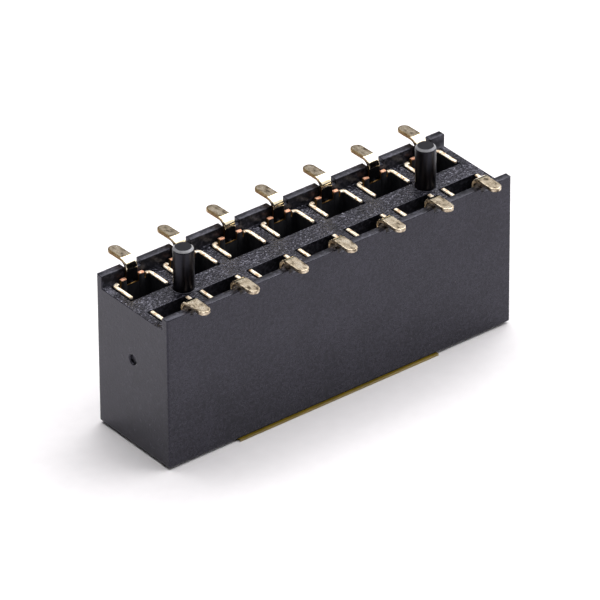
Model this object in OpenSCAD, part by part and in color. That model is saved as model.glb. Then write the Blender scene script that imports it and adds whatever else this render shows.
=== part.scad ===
// Dual-row surface-mount socket header, lying on its mating face with the solder side up.
// Millimetres. X runs along the rows, Y across them, Z up. The origin is the middle of the underside.

/* [Rows] */
// Distance between neighbouring contacts in a row
pitch = 2.54; // [2.4:0.02:3.2]
// Distance between the pin axes of the two rows
row_spacing = 2.54; // [2.5:0.02:3.2]
// Contacts in each row
positions = 7; // [3:1:12]

/* [Housing] */
// Plastic from the last contact's centre to the end face
end_margin = 1.405; // [1.3:0.005:2]
// Plastic from a row's pin axis to the long side
side_margin = 1.105; // [1:0.005:1.6]
// Height of the channel's floor above the mating face
floor_h = 6.54; // [5.6:0.02:9]
// Height of the long walls above the channel's floor
wall_h = 0.58; // [0.44:0.02:0.9]
// Ledge between a contact's cavity and the long wall
ledge = 0.05; // [0:0.01:0.15]
// Plastic under the cavities, which the pins pass through
face_t = 0.9; // [0.7:0.05:1.2]
// Side of the square pin opening
pin_opening = 0.86; // [0.75:0.01:1]
// Side of the opening's funnel at the mating face
funnel_mouth = 1.5; // [1.2:0.05:1.8]
// Depth of the funnel
funnel_depth = 0.45; // [0.2:0.05:0.6]
// Width of the notch in the wall beside each tail
notch_w = 0.84; // [0.4:0.02:1]
// Offset of the notch's middle from the contact's centre
notch_offset = 0.22; // [0:0.02:0.5]
// Depth of the notch below the top of the wall
notch_depth = 0.22; // [0.1:0.02:0.4]

/* [Gate mark] */
// Diameter of the gate mark in the left end face
gate_d = 0.42; // [0.2:0.02:0.8]
// Depth of the gate mark
gate_depth = 0.12; // [0.05:0.01:0.2]
// Height of the gate mark above the mating face
gate_h = 4.12; // [1:0.02:5]

/* [Locating pegs] */
// Diameter of a peg
peg_d = 0.9; // [0.6:0.02:1]
// Length of a peg that goes into the board
peg_reach = 1; // [0.5:0.02:2]
// Chamfer round the top of a peg
peg_chamfer = 0.1; // [0.02:0.01:0.2]

/* [Contacts] */
// Thickness of the contact strip
strip_t = 0.15; // [0.1:0.01:0.2]
// Half the outside width of a contact's cage
cage_half_w = 0.995; // [0.9:0.005:1.08]
// Distance from the pin axis to the outside of the cage's back plate
cage_back = 0.665; // [0.6:0.005:0.75]
// Distance from the pin axis to the free ends of the cage's arms
cage_front = 0.61; // [0.4:0.01:0.65]
// Height of the cage
cage_h = 2.6; // [1.6:0.1:3]
// Height of the cage's arms above the channel's floor
arm_rise = 0.08; // [0:0.01:0.2]
// Outside radius of the cage's two bends
cage_bend = 0.25; // [0.22:0.01:0.35]
// Room between a contact and its cavity
clearance = 0.03; // [0.01:0.01:0.08]
// Room between the arms' free ends and the centre rib
rib_gap = 0.14; // [0.05:0.01:0.2]

/* [Tails] */
// Width of the tail
tail_w = 0.56; // [0.4:0.02:0.7]
// Inside radius of the tail's bend
tail_bend = 0.3; // [0.15:0.01:0.45]
// Height of the solder face above the top of the walls
standoff = 0.4; // [0.36:0.02:0.8]
// Reach of the tail beyond the housing's long side
tail_reach = 0.875; // [0.6:0.005:2]

/* [Shear stubs] */
// Width of each stub left by the carrier strip beside the tail
stub_w = 0.26; // [0.1:0.02:0.34]
// Gap between a stub and the tail
stub_gap = 0.045; // [0.02:0.005:0.1]
// Height of a stub above the channel's floor
stub_rise = 0.2; // [0.05:0.01:0.35]
// Length of back plate beside each cage bend that keeps the arms' height
corner_l = 0.3; // [0.25:0.01:0.4]
// Depth of the relief between stub, tail and corner below the channel's floor
relief_depth = 0.1; // [0.05:0.01:0.3]

/* [Spring beams] */
// Width of a beam
beam_w = 0.84; // [0.5:0.02:1]
// Gap between the two beams where they grip a pin
grip_gap = 0.5; // [0.3:0.02:0.6]
// Height of the grip above the mating face
grip_h = 2; // [1.7:0.05:2.4]
// Gap between the flared ends of the beams
flare_gap = 0.98; // [0.8:0.02:1.2]
// Gap between the beams' ends and the plastic under them
beam_end_gap = 0.15; // [0.05:0.01:0.4]
// Room beside the beams, in the part of the cavity below the cage's seat
beam_room = 0.08; // [0.03:0.01:0.1]

/* [Pick-up film] */
// Length of the film along the rows
film_l = 10.5; // [4:0.1:14]
// Thickness of the film
film_t = 0.1; // [0.05:0.01:0.2]
// Overhang of the film past each long side
film_overhang = 0.1; // [0:0.01:0.3]
// Shift of the film along the rows
film_shift = -0.17; // [-1:0.01:1]

/* [Hidden] */
$fn = 64;
cut = 0.1;                                             // how far a cutting shape runs past a face

housing_l = (positions - 1) * pitch + 2 * end_margin;
housing_w = row_spacing + 2 * side_margin;
rim_h = floor_h + wall_h;
solder_h = rim_h + standoff;
row_y = row_spacing / 2;
first_x = -(positions - 1) * pitch / 2;
peg_x = -first_x - pitch / 2;                          // the pegs stand between the last two contacts
peg_top = solder_h + peg_reach;

cavity_half_w = cage_half_w + clearance;
cavity_back = cage_back + clearance;
cavity_front = cage_front + rib_gap;
wall_inside = row_y + cavity_back + ledge;             // distance of a long wall's inside from the middle

arm_top = floor_h + arm_rise;
cage_bottom = arm_top - cage_h;
plate_y = cage_back - strip_t;                         // inside of the back plate, from the pin axis
tail_bend_y = cage_back + tail_bend;                   // centre of the tail's bend, from the pin axis
tail_bend_h = solder_h - strip_t - tail_bend;
tail_tip_y = side_margin + tail_reach - tail_w / 2;    // centre of the tail's round end, from the pin axis
corner_x = cage_half_w - corner_l;
relief_h = floor_h - relief_depth;
beam_end_h = face_t + beam_end_gap;
beam_cavity = beam_w / 2 + beam_room;                  // half the length of the cavity below the cage

function contact_x(k) = first_x + (k - 1) * pitch;

// Places its children on the mating face, which lies on the film.
module on_film() {
    translate([0, 0, film_t]) children();
}

// Places its children at every contact, with +Y pointing from the middle of the housing to its side.
module at_each_contact() {
    for (k = [1:positions]) {
        translate([contact_x(k), row_y, 0]) children();
        translate([contact_x(k), -row_y, 0]) mirror([0, 1, 0]) children();
    }
}

// A block that is centred on X and runs from y0 to y1 and from z0 to z1.
module block(width, y0, y1, z0, z1) {
    translate([-width / 2, y0, z0]) cube([width, y1 - y0, z1 - z0]);
}

// A profile drawn in X and Z, pushed from y0 to y1.
module along_y(y0, y1) {
    translate([0, y1, 0]) rotate([90, 0, 0]) linear_extrude(y1 - y0) children();
}

// A profile drawn in Y and Z, pushed to a width that is centred on X.
module across_x(width) {
    translate([-width / 2, 0, 0]) rotate([90, 0, 90]) linear_extrude(width) children();
}

// Profile of the pin opening, the same in both directions: a funnel, then a straight square hole.
module opening_profile() {
    polygon([
        [-funnel_mouth / 2, -cut], [funnel_mouth / 2, -cut],
        [funnel_mouth / 2, 0], [pin_opening / 2, funnel_depth],
        [pin_opening / 2, face_t + cut], [-pin_opening / 2, face_t + cut],
        [-pin_opening / 2, funnel_depth], [-funnel_mouth / 2, 0]
    ]);
}

module pin_passage() {
    intersection() {
        along_y(-funnel_mouth, funnel_mouth) opening_profile();
        across_x(2 * funnel_mouth) opening_profile();
    }
}

// What one contact takes out of the housing: the cage's room down to its seat, the narrower room
// for the beams, the pin's way in and the notch in the wall.
module contact_room() {
    block(2 * cavity_half_w, -cavity_front, cavity_back, cage_bottom, floor_h + cut);
    block(2 * cavity_half_w, -beam_cavity, beam_cavity, face_t, cage_bottom + cut);
    pin_passage();
    translate([notch_offset, 0, 0])
        block(notch_w, cavity_back, side_margin + cut, rim_h - notch_depth, rim_h + cut);
}

module peg() {
    translate([0, 0, floor_h]) cylinder(d = peg_d, h = peg_top - peg_chamfer - floor_h);
    translate([0, 0, peg_top - peg_chamfer])
        cylinder(d1 = peg_d, d2 = peg_d - 2 * peg_chamfer, h = peg_chamfer);
}

module housing() {
    color([0.2, 0.2, 0.22]) on_film() {
        difference() {
            block(housing_l, -housing_w / 2, housing_w / 2, 0, rim_h);
            block(housing_l + 2 * cut, -wall_inside, wall_inside, floor_h, rim_h + cut);
            at_each_contact() contact_room();
            translate([-housing_l / 2 - cut, 0, gate_h])
                rotate([0, 90, 0]) cylinder(d = gate_d, h = gate_depth + cut);
        }
        for (side = [-1, 1]) translate([side * peg_x, 0, 0]) peg();
    }
}

module pickup_film() {
    color([0.62, 0.5, 0.16])
        translate([film_shift, 0, 0])
            block(film_l, -housing_w / 2 - film_overhang, housing_w / 2 + film_overhang, 0, film_t);
}

// Plan of the cage: the back plate and two arms, bent round at the two corners.
module cage_outline(inset) {
    half_w = cage_half_w - inset;
    back = cage_back - inset;
    bend = cage_bend - inset;
    difference() {
        translate([-half_w, -cage_front - inset]) square([2 * half_w, back + cage_front + inset]);
        for (side = [-1, 1]) translate([side * half_w, back]) square(2 * bend, center = true);
    }
    for (side = [-1, 1]) translate([side * (half_w - bend), back - bend]) circle(bend);
}

module cage() {
    translate([0, 0, cage_bottom]) linear_extrude(cage_h) difference() {
        cage_outline(0);
        cage_outline(strip_t);
    }
}

// What the press cuts out of the back plate's top edge between the two corners.
module corner_relief() {
    block(2 * corner_x, 0, cage_back + cut, relief_h, arm_top + cut);
}

module shear_stubs() {
    for (side = [-1, 1])
        translate([side * (tail_w / 2 + stub_gap + stub_w / 2), 0, 0])
            block(stub_w, plate_y, cage_back, relief_h, floor_h + stub_rise);
}

// The tail: up from the back plate, round the bend and out to a round end.
module tail() {
    block(tail_w, plate_y, cage_back, relief_h, tail_bend_h);
    across_x(tail_w) intersection() {
        translate([tail_bend_y, tail_bend_h]) difference() {
            circle(tail_bend + strip_t);
            circle(tail_bend);
        }
        translate([plate_y, tail_bend_h]) square(tail_bend + strip_t);
    }
    block(tail_w, tail_bend_y, tail_tip_y, solder_h - strip_t, solder_h);
    translate([0, tail_tip_y, solder_h - strip_t]) cylinder(d = tail_w, h = strip_t);
}

// One spring beam: down from an arm, in to the grip and out again to the flared end.
module beam() {
    inside = [
        [cage_half_w - strip_t, cage_bottom],
        [grip_gap / 2, grip_h],
        [flare_gap / 2, beam_end_h]
    ];
    outside = [for (point = inside) point + [strip_t, 0]];
    along_y(-beam_w / 2, beam_w / 2)
        polygon(concat(inside, [outside[2], outside[1], outside[0]]));
}

module contact() {
    difference() {
        cage();
        corner_relief();
    }
    shear_stubs();
    tail();
    beam();
    mirror([1, 0, 0]) beam();
}

module contact_in_place(k, turn) {
    color([0.78, 0.73, 0.62]) on_film()
        rotate([0, 0, turn]) translate([contact_x(k), row_y, 0]) contact();
}

housing();
pickup_film();
for (k = [1:positions]) {
    contact_in_place(k, 0);
    contact_in_place(positions + 1 - k, 180);
}
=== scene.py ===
# Looks of a dual-row surface-mount socket header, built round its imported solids.
# The scene is in metres. Named sizes are in millimetres and angles in degrees.
import math

import bmesh
import bpy
import numpy as np
from mathutils import Matrix, Vector


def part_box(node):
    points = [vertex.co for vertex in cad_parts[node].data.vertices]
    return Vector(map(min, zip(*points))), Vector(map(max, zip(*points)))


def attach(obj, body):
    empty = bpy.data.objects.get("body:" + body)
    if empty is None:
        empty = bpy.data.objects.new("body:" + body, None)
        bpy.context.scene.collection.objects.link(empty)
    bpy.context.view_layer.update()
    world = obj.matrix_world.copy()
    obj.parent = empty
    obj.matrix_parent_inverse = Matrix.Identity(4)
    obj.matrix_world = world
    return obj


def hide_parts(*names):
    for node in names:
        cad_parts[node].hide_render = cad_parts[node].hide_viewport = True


mm = 0.001  # metres in a millimetre
pitch = 2.54  # between neighbours in a row
rowAxis = pitch / 2  # from the part's middle to the pins of a row
positions = 7  # contacts in a row
near = 0.01  # places closer than this count as one
weldGap = 0.0004  # loose corners closer than this are joined
sliver = 0.0002  # an edge shorter than this has no length
flatAngle = 1  # faces that turn less than this make one flat face
noiseSpan = (0.3, 0.7)  # nearly all values of a noise lie between these

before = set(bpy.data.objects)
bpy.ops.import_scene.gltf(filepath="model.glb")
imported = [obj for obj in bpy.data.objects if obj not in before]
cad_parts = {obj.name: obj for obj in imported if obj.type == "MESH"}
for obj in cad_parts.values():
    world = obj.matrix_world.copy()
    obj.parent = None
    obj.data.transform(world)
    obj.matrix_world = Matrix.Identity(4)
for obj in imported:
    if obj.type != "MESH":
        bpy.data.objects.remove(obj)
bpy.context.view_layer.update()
print("frame loaded:", len(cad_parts), "nodes")


# Tools for colours, shader nodes and finishes

def linear(hexColour):  # sRGB hex value to the linear colour that a socket takes
    srgb = np.array([int(hexColour[i:i + 2], 16) for i in (1, 3, 5)]) / 255
    straight = np.where(srgb <= 0.04045, srgb / 12.92, ((srgb + 0.055) / 1.055) ** 2.4)
    return (*straight.tolist(), 1.0)


def addNode(tree, kind, sockets=None, stops=None, **settings):
    # A socket takes a value, or a link as (node, output name). Stops are a ramp's places and tones.
    node = tree.nodes.new(kind)
    for name, value in settings.items():
        setattr(node, name, value)
    for name, value in (sockets or {}).items():
        if isinstance(value, tuple) and isinstance(value[0], bpy.types.Node):
            tree.links.new(value[0].outputs[value[1]], node.inputs[name])
        else:
            node.inputs[name].default_value = value
    if stops:
        tones = node.color_ramp.elements
        tones.remove(tones[1])
        tones[0].position = stops[0][0]
        tones[0].color = linear(stops[0][1])
        for position, hexColour in stops[1:]:
            tones.new(position).color = linear(hexColour)
    return node


def startMaterial(name):  # an empty node tree, and a link to the object's own coordinates
    material = bpy.data.materials.new(name)
    material.use_nodes = True
    tree = material.node_tree
    tree.nodes.clear()
    place = addNode(tree, "ShaderNodeTexCoord")
    return material, tree, (place, "Object")


def perSize(size):  # texture scale that gives features of this size
    return 1 / (size * mm)


def finishNumbers(look):  # material number of each finish of a piece
    return {use: number for number, use in enumerate(look["finishes"])}


# Tools for meshes

def readArray(items, name, shape=(), kind=np.float32):  # a property of all the items, a row for each
    values = np.zeros((len(items), *shape), kind)
    items.foreach_get(name, values.reshape(-1))
    return values


def addPiece(name, mesh, materials, node):  # a piece of the part, which stands for one solid
    piece = bpy.data.objects.new(name, mesh)
    bpy.context.scene.collection.objects.link(piece)
    for material in materials:
        mesh.materials.append(material)
    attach(piece, "root")
    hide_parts(node)
    return piece


def evenNormals(piece):  # flat faces stay flat beside their rounded edges
    piece.modifiers.new("evenNormals", "WEIGHTED_NORMAL").keep_sharp = True


def weld(mesh):  # joins the loose corners of a mesh
    work = bmesh.new()
    work.from_mesh(mesh)
    bmesh.ops.remove_doubles(work, verts=work.verts[:], dist=weldGap * mm)
    bmesh.ops.dissolve_degenerate(work, edges=work.edges[:], dist=sliver * mm)
    bmesh.ops.recalc_face_normals(work, faces=work.faces[:])
    work.to_mesh(mesh)
    work.free()
    mesh.shade_smooth()


def flatCopy(name, node, cuts):
    # A copy of a solid's mesh whose flat faces are whole again. The cuts, places along X, Y and Z, part
    # the faces that go round a hole, and only triangles between the same cuts are joined.
    mesh = bpy.data.meshes.new(name)
    work = bmesh.new()
    work.from_mesh(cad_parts[node].data)
    bmesh.ops.remove_doubles(work, verts=work.verts[:], dist=weldGap * mm)
    for axis, places in zip(np.eye(3).tolist(), cuts):
        for place in places:
            everything = work.verts[:] + work.edges[:] + work.faces[:]
            bmesh.ops.bisect_plane(work, geom=everything, dist=sliver * mm,
                                   plane_co=Vector(axis) * place * mm, plane_no=axis)
    work.to_mesh(mesh)
    cell = np.zeros(len(mesh.polygons), np.int32)  # number of the space between cuts that a face lies in
    for places, along in zip(cuts, readArray(mesh.polygons, "center", (3,)).T):
        cell = cell * (len(places) + 1) + np.searchsorted(sorted(places), along / mm)
    mesh.polygons.foreach_set("material_index", cell)  # for a moment, to keep the cells apart
    work.clear()
    work.from_mesh(mesh)
    bmesh.ops.dissolve_limit(work, angle_limit=math.radians(flatAngle), verts=work.verts[:],
                             edges=work.edges[:], delimit={"MATERIAL"})
    work.to_mesh(mesh)
    work.free()
    mesh.polygons.foreach_set("material_index", np.zeros(len(mesh.polygons), np.int32))
    mesh.shade_smooth()
    return mesh


def edgeSides(mesh):  # middle of each edge, and the normals of its two faces
    corners = readArray(mesh.vertices, "co", (3,))
    ends = readArray(mesh.edges, "vertices", (2,), np.int32)
    normals = readArray(mesh.polygons, "normal", (3,))
    sizes = readArray(mesh.polygons, "loop_total", kind=np.int32)
    edgeOfLoop = readArray(mesh.loops, "edge_index", kind=np.int32)
    faceOfLoop = np.repeat(np.arange(len(sizes)), sizes)[np.argsort(edgeOfLoop, kind="stable")]
    pairs = faceOfLoop.reshape(-1, 2)
    return corners[ends].mean(axis=1), normals[pairs[:, 0]], normals[pairs[:, 1]]


# Housing: one moulding with its pegs

housingLook = {
    "outerEdge": 0.08,  # radius on the block's own corners and round the gate mark
    "innerEdge": 0.03,  # radius on rims, notches and mouths
    "pegEdge": 0.05,  # radius below the chamfer round a peg's top
    "bevelSteps": 3,
    "bentFrom": 30,  # two faces that turn more than this have a rounded edge
    "hiddenBelow": 0.35,  # edges further below the channel's floor stay sharp
    "channelFloor": 6.64,  # height of the channel's floor over the ground
    "wallInside": 2.015,  # from the part's middle to a long wall's inner face
    "gateHeight": 4.22,
    "gateRadius": 0.35,  # the gate mark lies within this of its middle
    "pegX": 2.5 * pitch,
    "pegRadius": 0.47,  # a peg lies within this of its axis
    "pegOverRim": 1.4,  # from the walls' top to the pegs' top
    "pegChamfer": 0.1,
    "chamferRise": (0.5, 0.9),  # the upward part of a chamfer's normals lies between these
    "cloudSize": 1.8,
    "cloudShare": 0.4,  # weight of the clouds in the tone, beside 1 for the grain
    "finishes": {  # tones and roughness from the grain's pits to its peaks
        "side": {"name": "glassFilledNylonSide",  # smooth, it mirrors the card dimly
                 "grain": {"size": 0.13, "depth": 0.015, "strength": 0.4},
                 "tones": [(0.45, "#030304"), (0.95, "#2c2b33")],
                 "rough": (0.07, 0.13)},
        "floor": {"name": "glassFilledNylonFloor",  # coarse, with pale flecks of glass fibre ends; the brightest are painted glints
                  "grain": {"size": 0.1, "depth": 0.06, "strength": 0.5},
                  "tones": [(0.53, "#020203"), (0.68, "#0d0c12"), (0.81, "#2e2d35"), (0.92, "#74737d")],
                  "rough": (0.19, 0.27)},
        "peg": {"name": "glassFilledNylonPeg",  # deep black with a soft sheen
                "grain": {"size": 0.12, "depth": 0.002, "strength": 0.2},
                "tones": [(0.5, "#020203"), (0.8, "#040406")],
                "rough": (0.28, 0.3)},
        "inner": {"name": "glassFilledNylonInsidePaintedLight",  # dull, in the channel and the cavities; toned lighter than the sides: painted light
                  "grain": {"size": 0.13, "depth": 0.02, "strength": 0.4},
                  "tones": [(0.5, "#0f0f12"), (0.72, "#202025"), (0.95, "#484750")],
                  "rough": (0.3, 0.36)},
        "chamfer": {"name": "glassFilledNylonPaintedHighlight",  # pale grey on the pegs' chamfers: a painted highlight
                    "grain": {"size": 0.3, "depth": 0.01, "strength": 0.2},
                    "tones": [(0.5, "#88888c"), (0.9, "#a6a6a8")],
                    "rough": (0.3, 0.4)},
    },
}


def mouldedPlastic(name, grain, tones, rough):
    # Glass-filled polyamide from a spark-eroded mould: all but black in itself, it shows the white card
    # that it mirrors dimly, broken up by a fine grain, with cloudy patches where the melt flowed. The pale
    # grey on the pegs' chamfers is a painted highlight, the lighter tone inside is painted light, and the
    # floor's brightest flecks are painted glints. The real grain is about half as wide as drawn here, too
    # fine to show.
    material, tree, place = startMaterial(name)
    cloud = addNode(tree, "ShaderNodeTexNoise",
                    {"Vector": place, "Scale": perSize(housingLook["cloudSize"]), "Detail": 3.0})
    pits = addNode(tree, "ShaderNodeTexNoise",
                   {"Vector": place, "Scale": perSize(grain["size"]), "Detail": 2.0, "Roughness": 0.6})
    patch = addNode(tree, "ShaderNodeMath",
                    {0: (cloud, "Fac"), 1: housingLook["cloudShare"], 2: (pits, "Fac")},
                    operation="MULTIPLY_ADD")
    tone = addNode(tree, "ShaderNodeValToRGB", {"Fac": (patch, "Value")}, stops=tones)
    shine = addNode(tree, "ShaderNodeMapRange",
                    {"Value": (pits, "Fac"), "From Min": noiseSpan[0], "From Max": noiseSpan[1],
                     "To Min": rough[0], "To Max": rough[1]})
    bump = addNode(tree, "ShaderNodeBump",
                   {"Height": (pits, "Fac"), "Strength": grain["strength"],
                    "Distance": grain["depth"] * mm})
    shader = addNode(tree, "ShaderNodeBsdfPrincipled",
                     {"Base Color": (tone, "Color"), "Roughness": (shine, "Result"), "IOR": 1.44,
                      "Specular Tint": linear("#eae8ff"), "Normal": (bump, "Normal")})
    addNode(tree, "ShaderNodeOutputMaterial", {"Surface": (shader, "BSDF")})
    return material


def housingEdges(mesh, low, high):
    # Which edges are bent, and the radius of each. It is none where an edge is hidden, at a wall's foot,
    # which lies too close to the mouths, and round the very top of a peg.
    look = housingLook
    middle, normalA, normalB = edgeSides(mesh)
    x, y, z = (middle / mm).T
    bent = (normalA * normalB).sum(axis=1) < math.cos(math.radians(look["bentFrom"]))
    outerFaces = (np.abs(np.abs(x) - high[0]) < near).astype(int)  # how many of the block's faces meet
    outerFaces += np.abs(np.abs(y) - high[1]) < near
    outerFaces += np.abs(z - low[2]) < near
    onGate = np.abs(x - low[0]) < near
    onGate &= np.hypot(y, z - look["gateHeight"]) < look["gateRadius"]
    onPegTop = z > high[2] - look["pegChamfer"] - near
    radius = np.select([onPegTop, onGate | (outerFaces >= 2)], [look["pegEdge"], look["outerEdge"]],
                       look["innerEdge"])
    sharp = (z < look["channelFloor"] - look["hiddenBelow"]) & (z > low[2] + near) & (outerFaces == 0)
    sharp |= (np.abs(z - look["channelFloor"]) < near) & (np.abs(y) > look["wallInside"] - near)
    sharp |= z > high[2] - look["pegChamfer"] / 2
    return bent, np.where(bent & ~sharp, radius, 0.0)


def housingFaces(mesh, low, high):  # number of the finish on each face
    look = housingLook
    number = finishNumbers(look)
    x, y, z = (readArray(mesh.polygons, "center", (3,)) / mm).T
    rise = readArray(mesh.polygons, "normal", (3,))[:, 2]
    onPeg = np.hypot(np.abs(x) - look["pegX"], y) < look["pegRadius"]
    onPeg &= z > look["channelFloor"] + near
    onChamfer = onPeg & (rise > look["chamferRise"][0]) & (rise < look["chamferRise"][1])
    onFloor = np.abs(z - look["channelFloor"]) < near
    inside = (np.abs(x) < high[0] - near) & (np.abs(y) < high[1] - near) & (z > low[2] + near)
    onRim = np.abs(z - high[2] + look["pegOverRim"]) < near  # the tops of the walls
    finish = np.select([onChamfer, onPeg, onFloor, inside | onRim],
                       [number["chamfer"], number["peg"], number["floor"], number["inner"]],
                       number["side"])
    return finish.astype(np.int32)


def makeHousing():
    look = housingLook
    low, high = (np.array(corner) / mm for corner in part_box("housing"))
    contactX = (np.arange(positions) - positions // 2) * pitch
    cuts = ([*contactX, -look["pegX"], look["pegX"]], [-rowAxis, 0, rowAxis], [look["gateHeight"]])
    mesh = flatCopy("housingShell", "housing", cuts)
    bent, radius = housingEdges(mesh, low, high)
    weight = (radius / look["outerEdge"]).astype(np.float32)
    mesh.attributes.new("bevel_weight_edge", "FLOAT", "EDGE").data.foreach_set("value", weight)
    mesh.attributes.new("sharp_edge", "BOOLEAN", "EDGE").data.foreach_set("value", bent & (weight == 0))
    mesh.polygons.foreach_set("material_index", housingFaces(mesh, low, high))
    materials = [mouldedPlastic(**finish) for finish in look["finishes"].values()]
    piece = addPiece("housingMoulding", mesh, materials, "housing")
    bevel = piece.modifiers.new("mouldRadius", "BEVEL")
    bevel.limit_method = "WEIGHT"
    bevel.width = look["outerEdge"] * mm
    bevel.segments = look["bevelSteps"]
    bevel.use_clamp_overlap = False
    bevel.loop_slide = False
    evenNormals(piece)
    print("housing dressed:", len(materials), "finishes")


# Contacts: each a blank of thin strip, stamped with a rolled edge and then bent

strip = {
    "thick": 0.15,
    "roll": 0.035,  # radius that the punch draws on the outer edges
    "burr": 0.012,  # radius left on the other side
    "rim": 0.07,  # width round a tail's face where the plating thins to the edge
    "tailWidth": 0.56,
    "tailBend": 0.3,  # inner radius of the bend over the wall
    "tailEnd": 1.0,  # power of the outline's sine and cosine: 1 gives a half circle
    "padTilt": {1: -1.8, -1: -2.2},  # by row, back and front: a pad dips a little to its tip
    "padRim": {1: "rim", -1: "pad"},  # finishes by row: the back row's pads have a darker rim and sides, painted shade, while the front row's keep the pad's finish to their edges
    "padEdge": {1: "edge", -1: "pad"},
    "armThick": 0.18,  # the cage's top edge is upset a little by the shears
    "armRoll": 0.05,  # radius along the tops of the cage and round its free ends
    "cageBack": 0.665,  # from the pin's axis out to the cage's back
    "cageFront": 0.61,  # from the pin's axis in to the arms' free ends
    "cageHalfWidth": 0.995,
    "cageBend": 0.25,  # outer radius of the cage's two corners
    "cageHeight": 2.6,
    "armTop": 6.72,
    "reliefTop": 6.54,  # the tail's root and the gaps beside the stubs
    "stubTop": 6.84,
    "stubWidth": 0.26,
    "stubGap": 0.045,  # between the tail and a stub
    "stepWidth": 0.02,  # the top line steps up or down over this length
    "cornerLength": 0.3,  # an arm's top starts this far from the cage's outer side
    "beamWidth": 0.84,
    "beamEnd": 0.25,  # a power that gives an all but square end
    "beamBend": 0.5,
    "beamFoot": 1.15,  # height of the beams' free ends
    "gripGap": 0.5,  # between the beams where they hold the pin
    "gripHeight": 2.1,
    "flareGap": 0.98,  # between the beams' free ends
    "bendStep": 0.03,  # spacing of stations along a bend, with no fewer than bendPoints
    "bendPoints": 6,
    "edgePoints": 5,  # points round a rolled edge
    "sidePoints": 12,  # stations along a straight side, at least
    "endPoints": 25,  # points round a tongue's end
    "tonePlaces": (0.34, 0.5, 0.66),  # where the tones of a finish lie on the noise of its scuffs
    "finishes": {  # tones from scuffed to bright, and roughness from bright to scuffed
        "bend": {"name": "goldFlashStrip",  # burnished by the bending tool, it mirrors sharply
                 "tones": ("#e8d6b0", "#f3e4c4", "#f8edd5"), "rough": (0.05, 0.1),
                 "scuff": {"size": 0.25, "stretch": (1.0, 0.35, 1.0), "strength": 0.05, "depth": 0.004}},
        "pad": {"name": "goldFlashPad",  # dulled and stained by handling
                "tones": ("#50463a", "#b8a993", "#dfd3c0"), "rough": (0.24, 0.34),
                "scuff": {"size": 0.18, "stretch": (1.0, 0.6, 1.0), "strength": 0.04, "depth": 0.012}},
        "stub": {"name": "shearedCopper",  # pink and grainy where the carrier was broken off
                 "tones": ("#e8a682", "#fac8a8", "#ffe0ca"), "rough": (0.6, 0.8),
                 "scuff": {"size": 0.06, "stretch": (0.4, 1.0, 1.0), "strength": 0.4, "depth": 0.008}},
        "arm": {"name": "shearedBronzeTop",  # pale, with brown streaks along it
                "tones": ("#a87c4c", "#fdf0da", "#fffaf0"), "rough": (0.55, 0.75),
                "scuff": {"size": 0.08, "stretch": (1.0, 0.3, 1.0), "strength": 0.3, "depth": 0.008}},
        "edge": {"name": "shearedBronzeSidePaintedShade",  # brown bronze bared on a punched side, toned dark: painted shade
                 "tones": ("#4a3720", "#6e5330", "#8a6c42"), "rough": (0.3, 0.45),
                 "scuff": {"size": 0.05, "stretch": (1.0, 1.0, 0.3), "strength": 0.3, "depth": 0.006}},
        "cage": {"name": "bareNickelPaintedShade",  # bare nickel inside a cavity, matt, toned dark grey: painted shade
                 "tones": ("#3c3c41", "#48484d", "#535357"), "rough": (0.66, 0.76),
                 "scuff": {"size": 0.3, "stretch": (1.0, 1.0, 0.4), "strength": 0.05, "depth": 0.004}},
        "rim": {"name": "goldFlashRimPaintedShade",  # darker gold round the back row's pads: painted shade
                "tones": ("#6a5636", "#9a8460", "#b09b76"), "rough": (0.24, 0.34),
                "scuff": {"size": 0.18, "stretch": (1.0, 0.6, 1.0), "strength": 0.04, "depth": 0.012}},
        "stem": {"name": "stemNickelPaintedShade",  # all but black below the bend: painted shade
                 "tones": ("#1c1c20", "#222226", "#2a2a2e"), "rough": (0.55, 0.65),
                 "scuff": {"size": 0.3, "stretch": (1.0, 1.0, 0.4), "strength": 0.05, "depth": 0.004}},
    },
}


def platedStrip(name, tones, rough, scuff):
    # Phosphor bronze strip under nickel and a flash of gold: a pale champagne metal, bright where it was
    # rolled and formed, dull where it was handled, coppery where it was sheared, and grey where the nickel
    # is bare. The darkness of that bare nickel inside the cage, the near black down the stem, the dark
    # brown of the punched sides and the darker rim of the back row's pads are painted shade. Scuffs run
    # along the strip, stretched that way.
    material, tree, place = startMaterial(name)
    along = addNode(tree, "ShaderNodeMapping", {"Vector": place, "Scale": scuff["stretch"]})
    marks = addNode(tree, "ShaderNodeTexNoise",
                    {"Vector": (along, "Vector"), "Scale": perSize(scuff["size"]), "Detail": 5.0,
                     "Roughness": 0.6})
    tone = addNode(tree, "ShaderNodeValToRGB", {"Fac": (marks, "Fac")},
                   stops=list(zip(strip["tonePlaces"], tones)))
    shine = addNode(tree, "ShaderNodeMapRange",
                    {"Value": (marks, "Fac"), "From Min": noiseSpan[0], "From Max": noiseSpan[1],
                     "To Min": rough[1], "To Max": rough[0]})
    bump = addNode(tree, "ShaderNodeBump",
                   {"Height": (marks, "Fac"), "Strength": scuff["strength"],
                    "Distance": scuff["depth"] * mm})
    shader = addNode(tree, "ShaderNodeBsdfPrincipled",
                     {"Base Color": (tone, "Color"), "Metallic": 1.0, "Roughness": (shine, "Result"),
                      "Normal": (bump, "Normal")})
    addNode(tree, "ShaderNodeOutputMaterial", {"Surface": (shader, "BSDF")})
    return material


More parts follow.
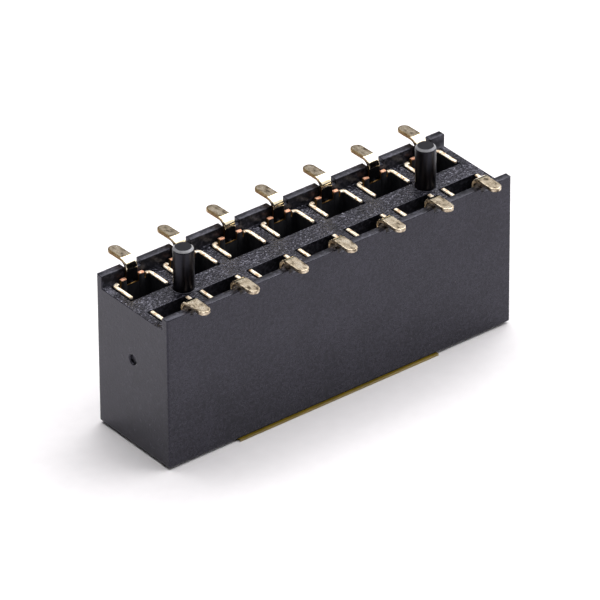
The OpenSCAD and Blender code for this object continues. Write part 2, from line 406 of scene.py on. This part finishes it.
def bentLine(corners, radius):
    # A line through the corners. Each inner corner becomes an arc of the given radius that touches both
    # legs: its ends lie radius * tan(half the turn) from the corner. Gives the points, the lengths along
    # them and their normals, which point left.
    corners = np.array(corners, float)
    pieces = [corners[:1]]
    for before, corner, after in zip(corners[:-2], corners[1:-1], corners[2:]):
        legIn = (corner - before) / np.linalg.norm(corner - before)
        legOut = (after - corner) / np.linalg.norm(after - corner)
        turn = math.atan2(legIn[0] * legOut[1] - legIn[1] * legOut[0], legIn @ legOut)
        left = math.copysign(1, turn) * np.array([-legIn[1], legIn[0]])
        start = corner - legIn * radius * math.tan(abs(turn) / 2)
        count = max(strip["bendPoints"], int(radius * abs(turn) / strip["bendStep"]))
        swing = np.linspace(0, abs(turn), count)[:, None]
        pieces.append(start + radius * (np.sin(swing) * legIn + (1 - np.cos(swing)) * left))
    points = np.vstack(pieces + [corners[-1:]])
    lengths = np.concatenate([[0], np.cumsum(np.linalg.norm(np.diff(points, axis=0), axis=1))])
    ahead = np.gradient(points, lengths, axis=0)
    ahead /= np.linalg.norm(ahead, axis=1)[:, None]
    return points, lengths, np.column_stack([-ahead[:, 1], ahead[:, 0]])


def onLine(line, along, off):  # points at a length along a bent line and a distance off it, to its left
    points, lengths, normals = line
    foot = [np.interp(along, lengths, points[:, k]) for k in (0, 1)]
    side = [np.interp(along, lengths, normals[:, k]) for k in (0, 1)]
    return foot[0] + off * side[0], foot[1] + off * side[1]


def gridQuads(rows, columns, closedRows, closedColumns):  # faces between neighbours of a grid of points
    row, column = np.meshgrid(np.arange(rows - (not closedRows)),
                              np.arange(columns - (not closedColumns)), indexing="ij")
    nextRow, nextColumn = (row + 1) % rows, (column + 1) % columns
    quads = [row * columns + column, nextRow * columns + column,
             nextRow * columns + nextColumn, row * columns + nextColumn]
    return np.stack(quads, axis=-1).reshape(-1, 4)


def tongue(line, width, power):
    # A flat tongue with a round end, bent along a line. One parameter runs round its outline, up one side,
    # round the end and down the other. The other runs from the middle of the outer face over the rolled
    # edge, down the side and back to the middle of the inner face: each step is an inset of the outline
    # and a height. Gives the line's two coordinates of each point, its place across and its length along,
    # and the quads with the step that each belongs to.
    half, thick, roll, burr = width / 2, strip["thick"], strip["roll"], strip["burr"]
    arc = np.linspace(0, math.pi / 2, strip["edgePoints"])
    inset = np.concatenate([[half, strip["rim"]], roll * (1 - np.sin(arc)),
                            burr * (1 - np.cos(arc)), [half]])
    height = np.concatenate([[thick / 2, thick / 2], thick / 2 - roll * (1 - np.cos(arc)),
                             -thick / 2 + burr * (1 - np.sin(arc)), [-thick / 2]])
    centre = line[1][-1] - half  # of the round end
    straight = np.linspace(0, centre, strip["sidePoints"])
    side = np.unique(np.concatenate([line[1][line[1] < centre], straight]))
    swing = np.linspace(-math.pi / 2, math.pi / 2, strip["endPoints"])[1:-1]
    none, one = np.zeros(len(side)), np.ones(len(side))
    start = np.concatenate([side, np.full(len(swing), centre), side[::-1]])
    forward = np.concatenate([none, np.cos(swing) ** power, none])
    across = np.concatenate([-one, np.sign(np.sin(swing)) * np.abs(np.sin(swing)) ** power, one])
    reach = half - inset
    along = start[:, None] + reach * forward[:, None]
    aside = reach * across[:, None]
    first, second = onLine(line, along, np.broadcast_to(height, along.shape))
    step = np.tile(np.arange(len(inset) - 1), len(along))
    return first, second, aside, along, gridQuads(*along.shape, True, False), step


def band(line, bottom, topAt):
    # A strip on edge, carried along a line in plan. The section is a rectangle with rounded edges whose
    # top follows topAt, pairs of length and height. It shrinks by a quarter circle at both ends, where a
    # flat section closes it. Gives the points, the quads, which quads are on top and how high the top is
    # there at its lower end.
    thick, roll, burr = strip["armThick"], strip["armRoll"], strip["burr"]
    topLength, topHeight = np.array(topAt).T
    total = line[1][-1]
    arc = np.linspace(0, math.pi / 2, strip["edgePoints"])
    wide, narrow = thick / 2 - burr, thick / 2 - roll
    off = np.concatenate([narrow + roll * np.cos(arc), -narrow - roll * np.sin(arc),
                          -wide - burr * np.cos(arc), wide + burr * np.sin(arc)])
    inward = np.concatenate([roll * (1 - np.sin(arc)), roll * (1 - np.cos(arc)),
                             burr * (1 - np.sin(arc)), burr * (1 - np.cos(arc))])
    isTop = np.repeat([1.0, 0.0], 2 * len(arc))  # the section goes over the top, then under the bottom
    ends = roll * (1 - np.cos(arc))
    stations = np.unique(np.concatenate([line[1], topLength, ends, total - ends]))
    stations = np.concatenate([[0], stations, [total]])
    spread = np.ones(len(stations))
    spread[[0, -1]] = 0  # the flat sections
    fromEnd = np.minimum(stations, total - stations)
    shrink = roll - np.sqrt(np.maximum(roll ** 2 - np.maximum(roll - fromEnd, 0) ** 2, 0))[:, None]
    top = np.interp(stations, topLength, topHeight)
    along = np.broadcast_to(stations[:, None], (len(stations), len(off)))
    thinned = np.sign(off) * np.maximum(np.abs(off) - shrink, 0) * spread[:, None]
    first, second = onLine(line, along, thinned)
    height = isTop * (top[:, None] - inward - shrink) + (1 - isTop) * (bottom + inward + shrink)
    points = np.stack([first, second, height], axis=-1)
    onTop = np.tile(np.arange(len(off)) < 2 * len(arc) - 1, len(stations) - 1)
    lowTop = np.repeat(np.minimum(top[:-1], top[1:]), len(off))
    return points, gridQuads(*along.shape, False, True), onTop, lowTop


# The stretches of a contact are given as points, quads and the finish of each quad. The points are in
# millimetres from the contact's own middle, with Y pointing out of the housing.

def tail(row, tipY, solderTop):  # stem, bend and pad
    look, number = strip, finishNumbers(strip)
    mid = look["thick"] / 2
    plate = rowAxis + look["cageBack"] - mid
    padTop = solderTop - mid
    tipTop = padTop + (tipY - plate - look["tailBend"]) * math.tan(math.radians(look["padTilt"][row]))
    line = bentLine([(plate, look["reliefTop"]), (plate, padTop), (tipY, tipTop)],
                    look["tailBend"] + mid)
    y, z, x, along, quads, step = tongue(line, look["tailWidth"], look["tailEnd"])
    bendStart, bendEnd, total = line[1][[1, -2, -1]]
    middle = along.reshape(-1)[quads].mean(axis=1)
    onTip = middle > total - look["tailWidth"] / 2
    onEdge = (step > look["edgePoints"]) & ~onTip  # past the rolled edge
    onPad = middle > bendEnd
    onRim = onPad & (step > 0)
    finish = np.select([onEdge, onRim, onPad, middle > bendStart],
                       [number[look["padEdge"][row]], number[look["padRim"][row]], number["pad"],
                        number["bend"]], number["stem"])
    return np.stack([x, y, z], axis=-1), quads, finish


def cage():  # two arms and the back between them, with stubs and gaps along its top line
    look, number = strip, finishNumbers(strip)
    mid = look["armThick"] / 2
    arm = look["cageHalfWidth"] - mid
    back = rowAxis + look["cageBack"] - mid
    front = rowAxis - look["cageFront"]
    line = bentLine([(-arm, front), (-arm, back), (arm, back), (arm, front)], look["cageBend"] - mid)
    centre = line[1][-1] / 2
    corner = look["cageHalfWidth"] - look["cornerLength"]
    inner = look["tailWidth"] / 2 + look["stubGap"]
    outer = inner + look["stubWidth"]
    step = look["stepWidth"]
    relief, stub, armTop = look["reliefTop"], look["stubTop"], look["armTop"]
    rightTop = [(inner - step, relief), (inner, stub), (outer, stub), (outer + step, relief),
                (corner - step, relief), (corner, armTop), (centre, armTop)]
    topAt = [(centre - aside, height) for aside, height in rightTop[::-1]]
    topAt += [(centre + aside, height) for aside, height in rightTop]
    points, quads, onTop, lowTop = band(line, armTop - look["cageHeight"], topAt)
    onStub = onTop & (lowTop > stub - step)
    onArm = onTop & (lowTop > armTop - step)
    finish = np.select([onStub, onArm, onTop], [number["stub"], number["arm"], number["edge"]],
                       number["cage"])
    return points, quads, finish


def beam(side):  # a spring that closes on the pin and flares towards the funnel
    look = strip
    mid = look["thick"] / 2
    line = bentLine([(look["cageHalfWidth"] - mid, look["armTop"] - look["cageHeight"]),
                     (look["gripGap"] / 2 + mid, look["gripHeight"]),
                     (look["flareGap"] / 2 + mid, look["beamFoot"])], look["beamBend"])
    x, z, y, _, quads, _ = tongue(line, look["beamWidth"], look["beamEnd"])
    points = np.stack([side * x, rowAxis + side * y, z], axis=-1)
    return points, quads, np.full(len(quads), finishNumbers(look)["cage"])


def joinParts(parts):  # one list of points, quads and finishes
    grids, quads, finishes = zip(*parts)
    points = [grid.reshape(-1, 3) for grid in grids]
    offsets = np.cumsum([0] + [len(some) for some in points[:-1]])
    shifted = [faces + offset for faces, offset in zip(quads, offsets)]
    return np.vstack(points), np.vstack(shifted), np.concatenate(finishes).astype(np.int32)


def makeContacts():
    materials = [platedStrip(**finish) for finish in strip["finishes"].values()]
    low, high = (np.array(corner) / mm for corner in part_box("contact_a1"))
    rows = {}
    for row in (1, -1):
        rows[row] = joinParts([tail(row, high[1], high[2]), cage(), beam(1), beam(-1)])
    names = sorted(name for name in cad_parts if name.startswith("contact_"))
    for name in names:
        low, high = (np.array(corner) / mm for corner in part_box(name))
        row = 1 if low[1] + high[1] > 0 else -1  # the front row's contacts are turned half round
        points, quads, finish = rows[row]
        placed = points * (row, row, 1) + ((low[0] + high[0]) / 2, 0, 0)
        mesh = bpy.data.meshes.new(name + "Strip")
        mesh.from_pydata((placed * mm).tolist(), [], quads.tolist())
        mesh.polygons.foreach_set("material_index", finish)
        weld(mesh)
        pieceName = name.replace("contact_", "contactStrip_")
        evenNormals(addPiece(pieceName, mesh, materials, name))
    print("contacts formed:", len(names), "pieces,", len(quads), "faces each")


# Film: die cut, with crisp edges

filmLook = {
    "edge": 0.012,
    "bevelSteps": 2,
    "cloudSize": 1.5,
    "rippleDepth": 0.02,
    "tones": [(0.35, "#8a741c"), (0.65, "#a58a26")],
}


def polyimideFilm():
    # Amber polyimide film, cast smooth: clear and glossy on its face, and olive at its cut edge, which
    # lies against black.
    material, tree, place = startMaterial("polyimideFilm")
    cloud = addNode(tree, "ShaderNodeTexNoise",
                    {"Vector": place, "Scale": perSize(filmLook["cloudSize"]), "Detail": 2.0})
    tone = addNode(tree, "ShaderNodeValToRGB", {"Fac": (cloud, "Fac")}, stops=filmLook["tones"])
    ripple = addNode(tree, "ShaderNodeBump",
                     {"Height": (cloud, "Fac"), "Strength": 0.15,
                      "Distance": filmLook["rippleDepth"] * mm})
    shader = addNode(tree, "ShaderNodeBsdfPrincipled",
                     {"Base Color": (tone, "Color"), "Roughness": 0.28, "IOR": 1.7,
                      "Transmission Weight": 0.35, "Normal": (ripple, "Normal")})
    addNode(tree, "ShaderNodeOutputMaterial", {"Surface": (shader, "BSDF")})
    return material


def makeFilm():
    mesh = flatCopy("filmSheet", "pickup_film", ([], [], []))
    piece = addPiece("pickupFilm", mesh, [polyimideFilm()], "pickup_film")
    bevel = piece.modifiers.new("dieCutEdge", "BEVEL")
    bevel.width = filmLook["edge"] * mm
    bevel.segments = filmLook["bevelSteps"]
    evenNormals(piece)
    print("film cut")


# Studio: card floor, soft boxes and the camera

studio = {
    "floorSize": 900,
    "toothSize": 0.6,
    "cardTones": ("#f2eff1", "#f5f2f4"),
    "worldTone": "#fbfaff",
    "worldStrength": 0.03,
    "boxes": [  # name, azimuth and elevation as seen from the part, distance, width, depth, radiance
        ("overheadTent", 90, 74, 600, 760, 760, 1.7),
        ("overheadStrip", -38, 85, 590, 560, 90, 3.3),
        ("frontRightBox", 58, 27, 600, 560, 220, 1.0),
        ("rightBox", 80, 40, 600, 800, 480, 2.0),
        ("backRightCard", 142, 30, 600, 400, 200, 0.42),
        ("backBox", 175, 62, 600, 800, 300, 2.7),
    ],
}

photoCamera = {
    "azimuth": -38.123,
    "elevation": 32.195,
    "roll": -0.388,
    "distance": 309.62,
    "lens": 445.63,
    "sensorWidth": 36,
    "clipStart": 10,
    "aside": -0.284,  # the part's middle lies off the picture's middle by these
    "above": 2.908,
    "ground": 0.1,  # height that the view is measured from
}


def studioFloor():
    # Matt white card: a faint tooth, bright enough to fade out away from the part.
    material, tree, place = startMaterial("studioCard")
    tooth = addNode(tree, "ShaderNodeTexNoise",
                    {"Vector": place, "Scale": perSize(studio["toothSize"]), "Detail": 4.0})
    tone = addNode(tree, "ShaderNodeValToRGB", {"Fac": (tooth, "Fac")},
                   stops=list(zip(noiseSpan, studio["cardTones"])))
    shader = addNode(tree, "ShaderNodeBsdfPrincipled", {"Base Color": (tone, "Color"), "Roughness": 0.8})
    addNode(tree, "ShaderNodeOutputMaterial", {"Surface": (shader, "BSDF")})
    return material


def viewAxes(azimuth, elevation):  # right, up and back of a view of the part, with azimuth 0 in front
    around, above = math.radians(azimuth), math.radians(elevation)
    right = Vector((math.cos(around), math.sin(around), 0))
    back = Vector((math.sin(around) * math.cos(above), -math.cos(around) * math.cos(above),
                   math.sin(above)))
    return right, back.cross(right), back


def stand(name, data, axes, place):  # puts a light or the camera in the studio, turned to these axes
    item = bpy.data.objects.new(name, data)
    bpy.context.scene.collection.objects.link(item)
    item.matrix_world = Matrix.Translation(place * mm) @ Matrix(axes).transposed().to_4x4()
    return item


def makeStudio():
    half = studio["floorSize"] / 2 * mm
    corners = [(-half, -half, 0), (half, -half, 0), (half, half, 0), (-half, half, 0)]
    mesh = bpy.data.meshes.new("cardFloor")
    mesh.from_pydata(corners, [], [(0, 1, 2, 3)])
    mesh.materials.append(studioFloor())
    floor = bpy.data.objects.new("cardFloor", mesh)
    bpy.context.scene.collection.objects.link(floor)
    world = bpy.data.worlds.new("studioWorld")
    bpy.context.scene.world = world
    world.use_nodes = True
    background = world.node_tree.nodes["Background"]
    background.inputs["Color"].default_value = linear(studio["worldTone"])
    background.inputs["Strength"].default_value = studio["worldStrength"]
    for name, azimuth, elevation, distance, width, depth, radiance in studio["boxes"]:
        light = bpy.data.lights.new(name, "AREA")
        light.shape = "RECTANGLE"
        light.size = width * mm
        light.size_y = depth * mm
        light.energy = math.pi * radiance * width * depth * mm ** 2  # pi times radiance times area
        axes = viewAxes(azimuth, elevation)
        stand(name, light, axes, axes[2] * distance)
    bpy.context.scene.view_settings.view_transform = "Standard"
    print("studio set:", len(studio["boxes"]), "soft boxes")


def makeCamera():
    view = photoCamera
    level, rise, back = viewAxes(view["azimuth"], view["elevation"])
    roll = math.radians(view["roll"])
    right = level * math.cos(roll) + rise * math.sin(roll)
    up = rise * math.cos(roll) - level * math.sin(roll)
    lens = bpy.data.cameras.new("photoCamera")
    lens.sensor_width = view["sensorWidth"]
    lens.lens = view["lens"]
    lens.clip_start = view["clipStart"] * mm
    place = back * view["distance"] + right * view["aside"] + up * view["above"]
    place += Vector((0, 0, view["ground"]))
    bpy.context.scene.camera = stand("photoCamera", lens, (right, up, back), place)
    print("camera placed", [round(c, 2) for c in place], "mm")


makeHousing()
makeContacts()
makeFilm()
makeStudio()
makeCamera()
